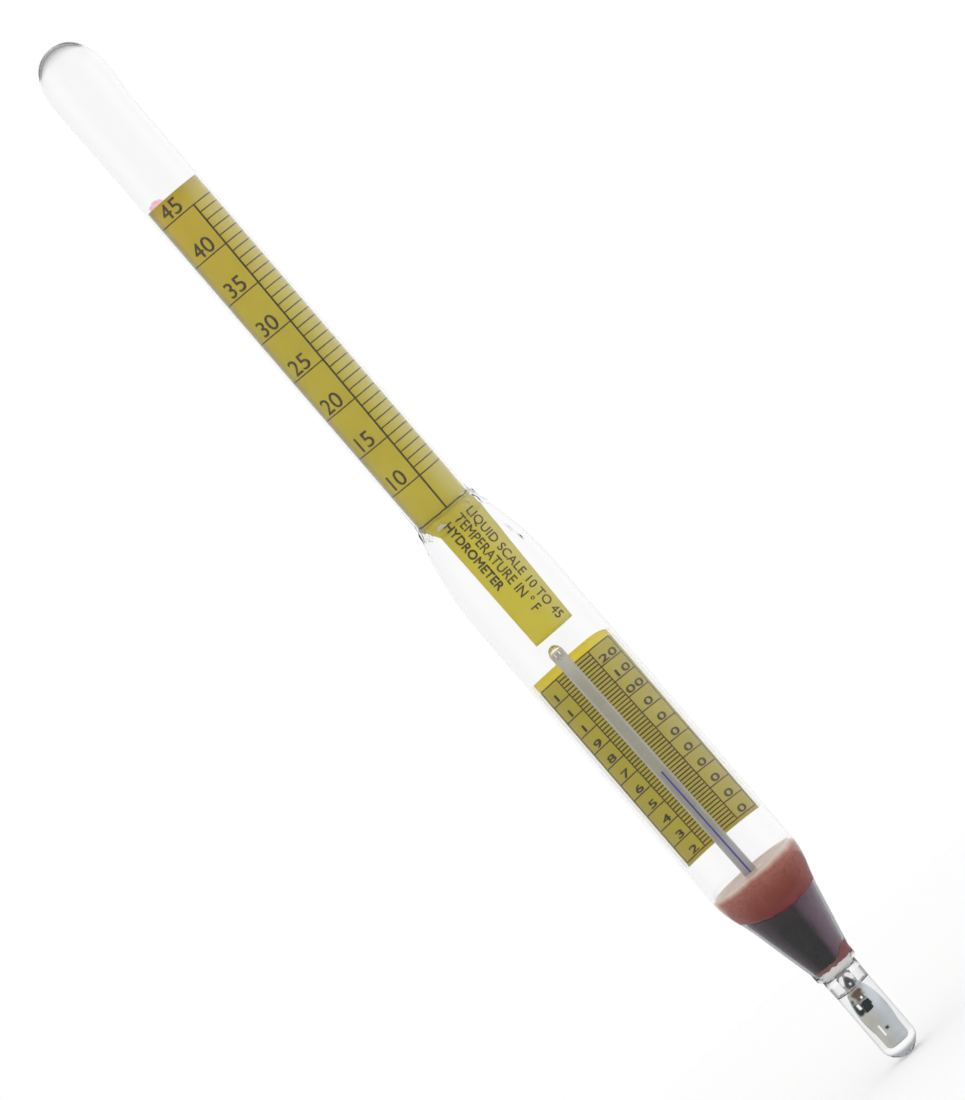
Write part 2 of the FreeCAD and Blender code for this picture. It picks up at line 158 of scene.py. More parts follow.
def bridge(mesh, lower, upper):
    """Faces between two rings of vertices. A ring of one vertex is a pole."""
    count = max(len(lower), len(upper))
    if count == 1:
        return
    for index in range(count):
        following = (index + 1) % count
        corners = [lower[index % len(lower)], lower[following % len(lower)],
                   upper[following % len(upper)], upper[index % len(upper)]]
        mesh.faces.new(list(dict.fromkeys(corners)))


def turn(mesh, chain, shape=None, segments=SEGMENTS, arc_step=ARC_STEP):
    """Turn an open outline about Z. The material lies to the left of the way it is walked.

    Shape, if given, moves each point: it takes the turned point and returns where it goes.
    """
    rings = []
    for radius, height in trace(chain, arc_step=arc_step):
        count = 1 if radius < 1e-6 else segments
        ring = []
        for index in range(count):
            angle = math.tau * index / count
            point = Vector((radius * math.cos(angle), radius * math.sin(angle), height))
            ring.append(mesh.verts.new(shape(point) if shape else point))
        rings.append(ring)
    for lower, upper in zip(rings, rings[1:]):
        bridge(mesh, lower, upper)


def lean_matrix():
    """Frame of the capillary tube: it leans about the seal."""
    pivot = Matrix.Translation((0, 0, SEAL))
    return pivot @ Matrix.Rotation(-LEAN, 4, "Y") @ pivot.inverted()


def lean_x(height):
    """Where the capillary tube's axis is at a height."""
    return -math.tan(LEAN) * (height - SEAL)


def add_piece(name, mesh, finish, replaces=None, body="float", sharp=35.0):
    """Make an object of a mesh, scale it to metres and hang it on its body."""
    for edge in mesh.edges:
        if len(edge.link_faces) == 2 and edge.calc_face_angle(0.0) > math.radians(sharp):
            edge.smooth = False
    for face in mesh.faces:
        face.smooth = True
    bmesh.ops.scale(mesh, vec=(MM, MM, MM), verts=mesh.verts)
    data = bpy.data.meshes.new(name)
    mesh.to_mesh(data)
    mesh.free()
    data.materials.append(finish)
    piece = bpy.data.objects.new(name, data)
    bpy.context.scene.collection.objects.link(piece)
    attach(piece, body)
    if replaces:
        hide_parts(replaces)
    return piece


# ---- node helpers

def linear(colour):
    """A display colour, 0 to 255, as a linear one."""
    values = [level / 255 for level in colour]
    return [value / 12.92 if value <= 0.04045 else ((value + 0.055) / 1.055) ** 2.4
            for value in values] + [1.0]


def new_material(name, **settings):
    """A Principled material, its node tree and its Principled node."""
    material = bpy.data.materials.new(name)
    material.use_nodes = True
    tree = material.node_tree
    shader = tree.nodes["Principled BSDF"]
    for key, value in settings.items():
        shader.inputs[key.replace("_", " ")].default_value = value
    return material, tree, shader


def noise_texture(tree, scale, detail=3.0, roughness=0.5, stretch=(1, 1, 1)):
    """Noise over the object. Scale is in cycles per metre."""
    place = tree.nodes.new("ShaderNodeTexCoord")
    mapping = tree.nodes.new("ShaderNodeMapping")
    mapping.inputs["Scale"].default_value = stretch
    texture = tree.nodes.new("ShaderNodeTexNoise")
    texture.inputs["Scale"].default_value = scale
    texture.inputs["Detail"].default_value = detail
    texture.inputs["Roughness"].default_value = roughness
    tree.links.new(place.outputs["Object"], mapping.inputs["Vector"])
    tree.links.new(mapping.outputs["Vector"], texture.inputs["Vector"])
    return texture.outputs["Fac"]


def ramp(tree, value, stops):
    """Colours along a value. Stops are (position, display colour)."""
    node = tree.nodes.new("ShaderNodeValToRGB")
    elements = node.color_ramp.elements
    while len(elements) < len(stops):
        elements.new(0.5)
    for element, (position, colour) in zip(elements, stops):
        element.position = position
        element.color = linear(colour)
    tree.links.new(value, node.inputs["Fac"])
    return node.outputs["Color"]


def mix(tree, share, first, second):
    """From one colour to another. Each is a node's output or a display colour."""
    node = tree.nodes.new("ShaderNodeMix")
    node.data_type = "RGBA"
    sockets = {(socket.name, socket.type): socket for socket in node.inputs}
    tree.links.new(share, sockets["Factor", "VALUE"])
    for name, colour in (("A", first), ("B", second)):
        socket = sockets[name, "RGBA"]
        if isinstance(colour, bpy.types.NodeSocket):
            tree.links.new(colour, socket)
        else:
            socket.default_value = linear(colour)
    return next(socket for socket in node.outputs if socket.type == "RGBA")


def compute(tree, operation, *values):
    """One step of arithmetic on node outputs and numbers."""
    node = tree.nodes.new("ShaderNodeMath")
    node.operation = operation
    for socket, value in zip(node.inputs, values):
        if isinstance(value, bpy.types.NodeSocket):
            tree.links.new(value, socket)
        else:
            socket.default_value = value
    return node.outputs["Value"]


def spread(tree, value, low, high, most=1.0):
    """A value from low to high as 0 to most, with soft ends."""
    node = tree.nodes.new("ShaderNodeMapRange")
    node.interpolation_type = "SMOOTHSTEP"
    node.inputs["From Min"].default_value = low
    node.inputs["From Max"].default_value = high
    node.inputs["To Max"].default_value = most
    tree.links.new(value, node.inputs["Value"])
    return node.outputs["Result"]


def window(tree, value, low, high, soft):
    """1 between low and high, 0 outside, with soft sides."""
    rise = spread(tree, value, low - soft, low + soft)
    fall = spread(tree, value, high + soft, high - soft)
    return compute(tree, "MULTIPLY", rise, fall)


def coordinates(tree):
    """X, Y and Z on the object, in millimetres."""
    place = tree.nodes.new("ShaderNodeTexCoord")
    split = tree.nodes.new("ShaderNodeSeparateXYZ")
    tree.links.new(place.outputs["Object"], split.inputs["Vector"])
    return [compute(tree, "MULTIPLY", split.outputs[axis], 1000.0) for axis in "XYZ"]


def glow(tree, shader, colour, strength):
    """Painted light: let a piece inside the glass glow a little, standing in for light that the glass
    keeps from it.
    """
    tree.links.new(colour, shader.inputs["Emission Color"])
    shader.inputs["Emission Strength"].default_value = strength


def bump(tree, shader, height, distance):
    """Relief from a value, distance in millimetres."""
    node = tree.nodes.new("ShaderNodeBump")
    node.inputs["Distance"].default_value = distance * MM
    tree.links.new(height, node.inputs["Height"])
    tree.links.new(node.outputs["Normal"], shader.inputs["Normal"])


# ---- materials

def glass_material(name):
    """Clear borosilicate glass."""
    return new_material(name, Base_Color=linear(WHITE), Roughness=0.0, IOR=1.47,
                        Transmission_Weight=1.0)[0]


def paper_material():
    """Yellow paper, warmer high up, brighter on the tongue, with a painted reflection paling it on
    the right and painted shade at its left edge.
    """
    material, tree, shader = new_material("scale_paper", Roughness=0.7)
    fibre = noise_texture(tree, 900.0, 4.0, 0.6)
    blotch = noise_texture(tree, 90.0, 2.0)
    across, _, height = coordinates(tree)
    plain = ramp(tree, blotch, [(0.3, (222, 202, 26)), (0.7, (232, 212, 42))])
    warm = spread(tree, height, 215.0, 262.0, 0.5)
    colour = mix(tree, warm, plain, (240, 200, 12))
    bright = spread(tree, height, 172.0, 150.0, 0.5)
    colour = mix(tree, bright, colour, (250, 236, 44))
    # Painted reflection: paler towards the right, where light from the right veils the paper.
    painted_right_sheen = spread(tree, across, 0.5, 7.0, 0.7)
    colour = mix(tree, painted_right_sheen, colour, (238, 226, 128))
    # Painted shade: greyer at the roll's left edge.
    painted_edge_shade = spread(tree, across, -5.4, -7.1, 0.75)
    colour = mix(tree, painted_edge_shade, colour, (150, 146, 108))
    colour = mix(tree, compute(tree, "MULTIPLY", fibre, 0.25), colour, (200, 180, 50))
    tree.links.new(colour, shader.inputs["Base Color"])
    bump(tree, shader, fibre, 0.01)
    return material


def card_material():
    """Yellow card, warmer to the left and paler to the right as a painted reflection, with a brighter
    margin above the printed frame that glows a little as painted light.
    """
    material, tree, shader = new_material("scale_card", Roughness=0.65)
    across, _, height = coordinates(tree)
    fibre = noise_texture(tree, 900.0, 4.0, 0.6)
    blotch = noise_texture(tree, 110.0, 2.0)
    plain = ramp(tree, blotch, [(0.3, (214, 198, 66)), (0.7, (224, 208, 78))])
    # Painted reflection: the right side keeps the paler tone, and only the left is made warmer.
    warm = spread(tree, across, 3.0, -8.0, 0.8)
    plain = mix(tree, warm, plain, (224, 206, 26))
    margin = spread(tree, height, 118.5, 118.8)
    colour = mix(tree, margin, plain, (255, 232, 24))
    colour = mix(tree, compute(tree, "MULTIPLY", fibre, 0.2), colour, (196, 180, 60))
    tree.links.new(colour, shader.inputs["Base Color"])
    # The margin glows a little, as painted light.
    glow(tree, shader, mix(tree, margin, BLACK, (255, 222, 20)), 0.12)
    bump(tree, shader, fibre, 0.01)
    return material


def ink_material():
    """Worn printing ink that the paper's yellow shows through."""
    material, tree, shader = new_material("ink", Roughness=0.6)
    worn = noise_texture(tree, 1500.0, 2.0)
    colour = ramp(tree, worn, [(0.35, (76, 58, 4)), (0.75, (112, 90, 12))])
    tree.links.new(colour, shader.inputs["Base Color"])
    return material


def wax_material():
    """Sealing wax, glossy and mottled, redder towards its lower edge, with painted sheen towards its
    sides and its top, and a painted reflection on top that glows a little.
    """
    material, tree, shader = new_material("sealing_wax", Roughness=0.32, IOR=1.45)
    shader.inputs["Subsurface Weight"].default_value = 0.15
    shader.inputs["Subsurface Radius"].default_value = (0.8 * MM, 0.3 * MM, 0.2 * MM)
    across, _, height = coordinates(tree)
    streak = noise_texture(tree, 180.0, 3.0)
    level = compute(tree, "MULTIPLY_ADD", streak, 2.0, height)
    lower = spread(tree, level, 45.0, 53.0)
    colour = ramp(tree, lower, [(0.0, (150, 44, 52)), (0.5, (156, 62, 46)), (1.0, (172, 84, 60))])
    blotch = spread(tree, noise_texture(tree, 120.0, 2.0), 0.45, 0.7, 0.4)
    colour = mix(tree, blotch, colour, (190, 110, 88))
    # Painted sheen: paler towards the left and right sides.
    sides = spread(tree, compute(tree, "ABSOLUTE", across), 4.0, 10.5, 0.4)
    colour = mix(tree, sides, colour, (200, 130, 124))
    # Painted sheen: paler towards the top.
    painted_upper_sheen = spread(tree, level, 51.0, 57.2, 0.5)
    colour = mix(tree, painted_upper_sheen, colour, (228, 158, 144))
    mottle = spread(tree, noise_texture(tree, 1100.0, 4.0, 0.6), 0.4, 0.7, 0.3)
    colour = mix(tree, mottle, colour, (124, 54, 46))
    # Painted reflection: pale on top.
    painted_top_reflection = spread(tree, compute(tree, "MULTIPLY_ADD", streak, 1.2, height), 55.3, 57.4)
    colour = mix(tree, painted_top_reflection, colour, (252, 236, 220))
    tree.links.new(colour, shader.inputs["Base Color"])
    # Painted light: the pale top glows a little.
    glow(tree, shader, mix(tree, painted_top_reflection, BLACK, (250, 240, 226)), 0.2)
    bump(tree, shader, noise_texture(tree, 300.0, 3.0), 0.05)
    return material


def ballast_material():
    """Fine lead shot set in dark wax, in bands that run down the cone: darkest at the front as
    painted shade, and paling towards the right edge as painted sheen.
    """
    material, tree, shader = new_material("ballast", Roughness=0.5)
    shader.inputs["Specular IOR Level"].default_value = 0.2
    across, depth, height = coordinates(tree)
    azimuth = compute(tree, "ARCTAN2", across, compute(tree, "MULTIPLY", depth, -1.0))
    turned = compute(tree, "MULTIPLY_ADD", azimuth, 0.5 / math.pi, 0.5)
    streak = noise_texture(tree, 350.0, 3.0, 0.5, (1, 1, 0.25))
    uneven = compute(tree, "MULTIPLY_ADD", streak, 0.03, turned)
    # The shot's tones round the cone, with painted shade at the front and painted sheen towards the
    # right edge.
    bands = ramp(tree, uneven, [
        (0.27, (78, 74, 76)), (0.34, (66, 50, 58)), (0.40, (70, 50, 58)), (0.425, (36, 30, 30)),
        (0.545, (36, 30, 30)), (0.575, (116, 90, 108)), (0.66, (150, 126, 142)),
        (0.73, (206, 196, 206)),
    ])
    plum = spread(tree, height, 40.0, 46.0, 0.3)
    bands = mix(tree, plum, bands, (84, 48, 60))
    grain = noise_texture(tree, 900.0, 2.0)
    colour = mix(tree, compute(tree, "MULTIPLY", grain, 0.3), bands, (28, 25, 25))
    tree.links.new(colour, shader.inputs["Base Color"])
    return material


def lower_wax_material():
    """Dark red wax, a little brighter towards the right."""
    material, tree, shader = new_material("lower_wax", Roughness=0.35)
    across, _, _ = coordinates(tree)
    bright = spread(tree, across, 0.5, 3.5)
    colour = mix(tree, bright, (150, 88, 86), (158, 88, 84))
    tree.links.new(colour, shader.inputs["Base Color"])
    bump(tree, shader, noise_texture(tree, 700.0, 3.0), 0.06)
    return material


def packing_material():
    """Pale tangled fibre."""
    material, tree, shader = new_material("packing", Roughness=0.9)
    strands = noise_texture(tree, 1500.0, 5.0, 0.7, (1, 1, 2.5))
    colour = ramp(tree, strands, [(0.3, (232, 230, 222)), (0.5, (254, 255, 252))])
    tree.links.new(colour, shader.inputs["Base Color"])
    bump(tree, shader, strands, 0.05)
    return material


def enamel_material():
    """Greyish opal strip, faintly mottled, with painted light: paler at its long edges, and towards
    both ends where white lies behind the tube beyond the card.
    """
    material, tree, shader = new_material("enamel", Roughness=0.4)
    mottle = noise_texture(tree, 700.0, 4.0, 0.6)
    plain = ramp(tree, mottle, [(0.3, (214, 210, 186)), (0.7, (226, 222, 198))])
    across, _, height = coordinates(tree)
    # Painted light: paler towards both ends, where white lies behind the tube beyond the card.
    plain = mix(tree, spread(tree, height, 70.0, 62.0), plain, (248, 248, 244))
    plain = mix(tree, spread(tree, height, 112.0, 122.0), plain, (255, 250, 236))
    axis = compute(tree, "MULTIPLY", compute(tree, "SUBTRACT", height, SEAL), math.tan(LEAN))
    off_axis = compute(tree, "ABSOLUTE", compute(tree, "ADD", across, axis))
    # Painted light: paler at the long edges.
    colour = mix(tree, spread(tree, off_axis, 0.55, 0.9), plain, (255, 254, 246))
    tree.links.new(colour, shader.inputs["Base Color"])
    return material


def bulb_liquid_material():
    """Pale silvery liquid, with painted reflections on its front: dark patches, a dark spot, and
    white highlights that glow.
    """
    material, tree, shader = new_material("bulb_liquid", Roughness=0.25, Metallic=0.3)
    across, depth, height = coordinates(tree)
    cloud = noise_texture(tree, 250.0, 3.0)
    warm = ramp(tree, cloud, [(0.35, (222, 220, 208)), (0.65, (234, 232, 222))])
    cool = ramp(tree, cloud, [(0.35, (226, 234, 240)), (0.65, (240, 246, 252))])
    colour = mix(tree, spread(tree, across, -1.8, 1.8), warm, cool)
    front = spread(tree, depth, 0.2, -0.6)
    ripple = noise_texture(tree, 700.0, 2.0)
    swirl = noise_texture(tree, 420.0, 2.0)
    ragged_across = compute(tree, "ADD", across, compute(tree, "MULTIPLY_ADD", ripple, 1.3, -0.65))
    ragged_height = compute(tree, "ADD", height, compute(tree, "MULTIPLY_ADD", swirl, 1.8, -0.9))
    # The patches are painted reflections and highlights. Each patch: tone, left, right, bottom, top,
    # softness. The ragged ones have uneven edges.
    ragged = (
        ((28, 50, 52), -2.60, -1.75, 14.6, 19.9, 0.25),
        ((24, 44, 46), -2.60, -1.00, 14.2, 16.9, 0.3),
        ((124, 104, 90), -1.35, 0.85, 16.9, 19.5, 0.35),
        ((24, 40, 42), -1.10, 0.80, 13.9, 16.7, 0.15),
        ((90, 90, 92), -0.90, 0.90, 20.2, 23.4, 0.2),
    )
    neat = (
        ((66, 68, 66), -0.40, 0.34, 7.95, 8.75, 0.24),
        (WHITE, -1.80, -1.35, 15.3, 16.7, 0.2),
        (WHITE, -0.25, 0.15, 17.2, 17.8, 0.12),
        ((250, 236, 232), 0.60, 1.00, 17.0, 17.7, 0.2),
        (WHITE, -0.20, 0.20, 21.0, 21.6, 0.15),
        (WHITE, -1.30, -1.00, 7.0, 9.9, 0.12),
    )
    glints = BLACK
    for patches, x, z in ((ragged, ragged_across, ragged_height), (neat, across, height)):
        for tone, left, right, bottom, top, soft in patches:
            box = compute(tree, "MULTIPLY", window(tree, x, left, right, soft),
                          window(tree, z, bottom, top, soft))
            share = compute(tree, "MULTIPLY", box, front)
            colour = mix(tree, share, colour, tone)
            if tone == WHITE:
                glints = mix(tree, share, glints, WHITE)
    tree.links.new(colour, shader.inputs["Base Color"])
    # Painted highlights: the white glints glow.
    glow(tree, shader, glints, 0.45)
    return material


def thread_material():
    """Blue thermometer liquid."""
    material, tree, shader = new_material("thread_liquid", Roughness=0.3)
    shade = noise_texture(tree, 600.0, 2.0)
    colour = ramp(tree, shade, [(0.35, (40, 50, 190)), (0.65, (56, 68, 205))])
    tree.links.new(colour, shader.inputs["Base Color"])
    return material


def dab_material(name, colour, edge_colour, roughness, painted_glow=0.0):
    """An uneven dab. A bright one also glows a little in its own colour, as painted light."""
    material, tree, shader = new_material(name, Roughness=roughness)
    shade = noise_texture(tree, 900.0, 3.0)
    tone = ramp(tree, shade, [(0.35, colour), (0.7, edge_colour)])
    tree.links.new(tone, shader.inputs["Base Color"])
    glow(tree, shader, tone, painted_glow)
    bump(tree, shader, shade, 0.03)
    return material


def seen_directly(tree, depth_name):
    """1 for light paths that are mirrored ("Glossy Depth") or bent ("Transmission Depth") on
    their way to the eye, and have not lit a matt surface yet."""
    path = tree.nodes.new("ShaderNodeLightPath")
    bounced = compute(tree, "GREATER_THAN", path.outputs[depth_name], 0.5)
    direct = compute(tree, "LESS_THAN", path.outputs["Diffuse Depth"], 0.5)
    return compute(tree, "MULTIPLY", bounced, direct)


def floor_material():
    """Pale floor. The glass mirrors it as a greyer one, so it does not veil what is inside."""
    material, tree, shader = new_material("pale_floor", Roughness=0.9)
    tone = noise_texture(tree, 12.0, 2.0)
    pale = ramp(tree, tone, [(0.3, (254, 254, 254)), (0.7, WHITE)])
    mirrored = seen_directly(tree, "Glossy Depth")
    tree.links.new(mix(tree, mirrored, pale, (180, 181, 185)), shader.inputs["Base Color"])
    shader.inputs["Specular IOR Level"].default_value = 0.0
    return material


# ---- glass

def stem_side(bottom, inset, top, side_radius):
    """One surface of the stem, from its lower end to its top on the axis."""
    radius = STEM_RADIUS - inset
    widest = STEM_RADIUS + STEM_BULGE - inset
    corner_radius, corner_height, top_radius = oval_dome(widest, top - BULGE_TOP, BULGE_TOP,
                                                         side_radius)
    return [
        (radius, bottom, None),
        (radius, BULGE_FOOT, tangent_bend(BULGE_TOP - BULGE_FOOT, STEM_BULGE)),
        (widest, BULGE_TOP, side_radius),
        (corner_radius, corner_height, top_radius),
        (0.0, top, None),
    ]


def body_side(inset, seam_bend):
    """The chamber's outline from its collar to the seam, for its outside and its inside."""
    return [
        (COLLAR_RADIUS - inset, 28.6, None),
        (9.31 - inset, 44.1, -47.8),
        (CONE_TOP_RADIUS - inset, CONE_TOP,
         tangent_bend(BARREL_FOOT - CONE_TOP, BARREL_RADIUS - CONE_TOP_RADIUS)),
        (BARREL_RADIUS - inset, BARREL_FOOT, None),
        (BARREL_RADIUS - inset, BARREL_TOP,
         tangent_bend(SHOULDER_TOP - BARREL_TOP, SHOULDER_DROP)),
        (BARREL_RADIUS - SHOULDER_DROP - inset, SHOULDER_TOP, seam_bend),
    ]


BODY_OUTSIDE = (
    [(BULB_RADIUS, SEAL, None), (4.75, 25.6, 1.0), (COLLAR_RADIUS, 26.6, None)]
    + body_side(0.0, -16.0)
    + [(STEM_RADIUS, STEM_FOOT, None)])
BODY_INSIDE = (
    [(4.0, SEAL, None), (4.15, 25.6, None), (5.05, 27.2, None)]
    + body_side(CHAMBER_WALL, -12.0)
    + [(STEM_RADIUS - STEM_WALL, STEM_FOOT_INSIDE, None)])


def seam_lumps(point):
    """Fused glass is uneven where the stem meets the shoulder, mostly on its outside."""
    middle = 164.4
    half_height = 4.6
    reach = max(0.0, 1.0 - ((point.z - middle) / half_height) ** 2)
    if reach == 0.0:
        return point
    swirl = noise.noise(Vector((point.x * 0.45, point.y * 0.45, point.z * 0.6)))
    amount = 0.9 if point.xy.length > 7.4 else 0.1
    outward = Vector((point.x, point.y, 0)).normalized()
    return point + outward * max(0.0, swirl) * reach * amount


def shoulder_marks(point):
    """Outside of the chamber: the lumpy seam, and two tool marks pressed into the shoulder."""
    around = math.degrees(math.atan2(point.y, point.x))
    depth = 0.0
    # azimuth in degrees, height, width in degrees, length
    for azimuth, height, width, length in ((-36.0, 153.0, 5.0, 2.6), (-33.0, 149.5, 4.0, 1.2)):
        depth += 0.23 * math.exp(-((around - azimuth) / width) ** 2
                                 - ((point.z - height) / length) ** 2)
    inward = Vector((-point.x, -point.y, 0)).normalized()
    return seam_lumps(point + inward * depth)


def smooth_step(value, low, high):
    share = min(max((value - low) / (high - low), 0.0), 1.0)
    return share * share * (3 - 2 * share)


def stem_shape(point):
    """The closed end stands a little towards +X. The seam below is lumpy."""
    point.x += 0.35 * smooth_step(point.z, BULGE_FOOT, 295.0)
    return seam_lumps(point)


def make_stem_glass():
    """Stem tube, open where the shoulder's glass goes on from it, so the two read as one."""
    mesh = bmesh.new()
    turn(mesh, stem_side(STEM_FOOT, 0.0, LENGTH, 14.0), stem_shape)
    turn(mesh, reverse(stem_side(STEM_FOOT_INSIDE, STEM_WALL, LENGTH - 0.85, 13.5)), stem_shape)
    add_piece("stem_glass", mesh, glass_material("stem_glass"), "stem_tube")


def make_body_glass():
    """Neck, cone, barrel and shoulder. Open at the bulb's rim and under the stem."""
    mesh = bmesh.new()
    turn(mesh, BODY_OUTSIDE, shoulder_marks)
    turn(mesh, reverse(BODY_INSIDE), seam_lumps)
    add_piece("body_glass", mesh, glass_material("body_glass"), "body_tube")


def lean_above_seal(point):
    """The bulb's spigot leans with the capillary tube that stands on it."""
    if point.z > SEAL + 0.01:
        point.x += lean_x(point.z)
    return point


def drawn_tip(point):
    """The bulb's end was drawn off, so it is a little pointed and uneven."""
    reach = 1.0 - smooth_step(point.z, 0.3, 3.2)
    ripple = 0.12 * noise.noise(Vector((point.x * 0.9, point.y * 0.9, point.z)))
    point.xy *= 1.0 - (0.10 + ripple) * reach * min(1.0, point.z / 0.3)
    return point


def make_bulb_glass():
    """Solid glass round the liquid, with a groove inside its rim and a spigot for the tube."""
    mesh = bmesh.new()
    turn(mesh, [(0.0, 0.0, BULB_RADIUS), (BULB_RADIUS, BULB_RADIUS, None),
                (BULB_RADIUS, SEAL, None)], drawn_tip)
    turn(mesh, [(4.0, SEAL, -1.5), (1.95, SEAL, None), (1.9, TUBE_FOOT, None),
                (TUBE_RADIUS, TUBE_FOOT, None)], lean_above_seal)
    add_piece("bulb_glass", mesh, glass_material("bulb_glass"), "thermometer_bulb")


def make_bulb_liquid():
    """Liquid in the bulb, with the start of the thread in the neck."""
    mesh = bmesh.new()
    turn(mesh, [(0.0, 3.7, None), (1.18, 3.7, 0.9), (2.08, 4.6, None), (2.12, 8.0, 33.0),
                (1.8, 19.1, None), (0.3, 23.3, None), (0.21, 23.7, None), (0.21, 27.0, None),
                (0.0, 27.0, None)],
         lean_above_seal, segments=96)
    add_piece("bulb_liquid", mesh, bulb_liquid_material(), "bulb_fill")


def lean(point):
    """A point of the capillary tube, moved from an upright tube to the leaning one."""
    return lean_matrix() @ point


def make_capillary_glass():
    """Capillary tube with its swollen end. The wide end of the bore shows as a bubble."""
    side_radius = 3.0
    corner_radius, corner_height, top_radius = oval_dome(
        TUBE_HEAD_RADIUS, TUBE_TOP - TUBE_HEAD, TUBE_HEAD, side_radius)
    mesh = bmesh.new()
    turn(mesh, [(TUBE_RADIUS, TUBE_FOOT, None), (TUBE_RADIUS, 120.5, 26.0),
                (TUBE_HEAD_RADIUS, TUBE_HEAD, side_radius),
                (corner_radius, corner_height, top_radius), (0.0, TUBE_TOP, None)],
         lean, segments=64, arc_step=0.2)
    turn(mesh, [(0.0, 124.0, -0.55), (0.55, 123.45, None), (0.55, 122.6, None),
                (0.1, 121.8, None), (0.0, 121.7, None)], lean, segments=32, arc_step=0.1)
    add_piece("capillary_glass", mesh, glass_material("capillary_glass"),
              "thermometer_tube")


def make_enamel():
    """Strip of enamel behind the bore, with rounded edges."""
    foot, top = 23.8, 123.9
    width, thickness, front = 2.4, 0.25, 0.62
    size = Matrix.Diagonal((width, thickness, top - foot, 1.0))
    centre = Matrix.Translation((0, front + thickness / 2, (top + foot) / 2))
    mesh = bmesh.new()
    bmesh.ops.create_cube(mesh, size=1.0, matrix=lean_matrix() @ centre @ size)
    bmesh.ops.bevel(mesh, geom=mesh.edges[:], offset=0.1, segments=3, affect="EDGES", profile=0.5)
    add_piece("enamel", mesh, enamel_material(), "enamel_strip")


def make_thread():
    """Thread of liquid in the bore, with a domed top. It moves."""
    radius, foot, top, dome = 0.15, 24.4, 87.1, 0.12
    mesh = bmesh.new()
    turn(mesh, [(0.0, foot, None), (radius, foot, None), (radius, top - dome, 0.17),
                (0.0, top, None)], lean, segments=32, arc_step=0.05)
    add_piece("thread", mesh, thread_material(), "liquid_column", "liquid")


# ---- fillings

INSIDE_POINTS = trace(BODY_INSIDE, row=0.5)


def inside_radius(height):
    """Inner radius of the chamber's glass at a height."""
    for lower, upper in zip(INSIDE_POINTS, INSIDE_POINTS[1:]):
        if height <= upper.y:
            share = (height - lower.y) / max(upper.y - lower.y, 1e-6)
            return lower.x + (upper.x - lower.x) * min(max(share, 0.0), 1.0)
    return INSIDE_POINTS[-1].x


def fill(bottom, top, gap, hole, rows, rings, relief=None):
    """A layer that fills the chamber round the capillary tube.

    Bottom and top give a height at x, y. Gap gives the clearance to the glass at an angle. Hole
    is the radius left for the tube. Relief pushes a wall point outwards.
    """
    mesh = bmesh.new()
    segments = 192
    middle = (bottom(0, 0) + top(0, 0)) / 2
    reach = inside_radius(middle)
    layers = [[] for _ in range(2 * rows + 2 * rings)]
    for index in range(segments):
        angle = math.tau * index / segments
        way = Vector((math.cos(angle), math.sin(angle)))
        foot = bottom(*(way * reach))
        rim = top(*(way * reach))
        # up the wall
        column = []
        for row in range(rows + 1):
            height = foot + (rim - foot) * row / rows
            radius = inside_radius(height) - gap(angle)
            if relief:
                radius += relief(Vector((way.x * radius, way.y * radius, height)))
            column.append(Vector((way.x * radius, way.y * radius, height)))
        outer_top = column[-1].xy
        outer_foot = column[0].xy
        inner_top = way * hole + Vector((lean_x(rim), 0))
        inner_foot = way * hole + Vector((lean_x(foot), 0))
        # in along the top
        for ring in range(1, rings + 1):
            spot = outer_top.lerp(inner_top, ring / rings)
            column.append(Vector((spot.x, spot.y, top(spot.x, spot.y))))
        # down the hole
        inner_low = bottom(*inner_foot)
        start = column[-1]
        for row in range(1, rows):
            column.append(start.lerp(Vector((inner_foot.x, inner_foot.y, inner_low)), row / rows))
        # out along the bottom
        for ring in range(rings):
            spot = inner_foot.lerp(outer_foot, ring / rings)
            column.append(Vector((spot.x, spot.y, bottom(spot.x, spot.y))))
        for layer, point in zip(layers, column):
            layer.append(mesh.verts.new(point))
    for lower, upper in zip(layers, layers[1:] + layers[:1]):
        bridge(mesh, lower, upper)
    return mesh


def wobble(x, y, scale, seed):
    """Smooth unevenness, about -1 to 1."""
    return noise.noise(Vector((x * scale, y * scale, seed)))


def wax_floor(x, y):
    """Where the sealing wax ends and the ballast begins."""
    return 45.1 - 0.13 * x + 0.018 * x ** 2 + 0.4 * wobble(x, y, 0.35, 1.0)


def wax_top(x, y):
    """The wax climbs a little at the glass and at the tube."""
    to_glass = math.hypot(x, y) / (BARREL_RADIUS - CHAMBER_WALL)
    from_tube = math.hypot(x - lean_x(BARREL_FOOT), y) - TUBE_RADIUS
    return 55.7 + 0.7 * to_glass ** 8 + 0.35 * math.exp(-from_tube / 0.5)


def ballast_foot(x, y):
    """The lower wax has run up further on the right."""
    return 28.3 + 1.9 * smooth_step(x, 1.5, 4.5) + 0.5 * wobble(x, y, 0.7, 2.0)


def packing_top(x, y):
    return 27.2 + 0.4 * wobble(x, y, 0.9, 3.0)


def packing_foot(x, y):
    return 25.9 + 0.5 * wobble(x, y, 0.9, 4.0)


def make_sealing_wax():
    wax = fill(wax_floor, wax_top, gap=lambda angle: WET, hole=1.69, rows=24, rings=24)
    add_piece("wax_seal", wax, wax_material(), "sealing_wax")


def make_ballast():
    """The shot reaches 0.1 into the wax above it."""
    shot = fill(ballast_foot, lambda x, y: wax_floor(x, y) + 0.1, gap=lambda angle: 0.05,
                hole=1.8, rows=60, rings=12, relief=lambda point: 0.03 * noise.noise(point * 1.5))
    add_piece("shot", shot, ballast_material(), "ballast_shot")


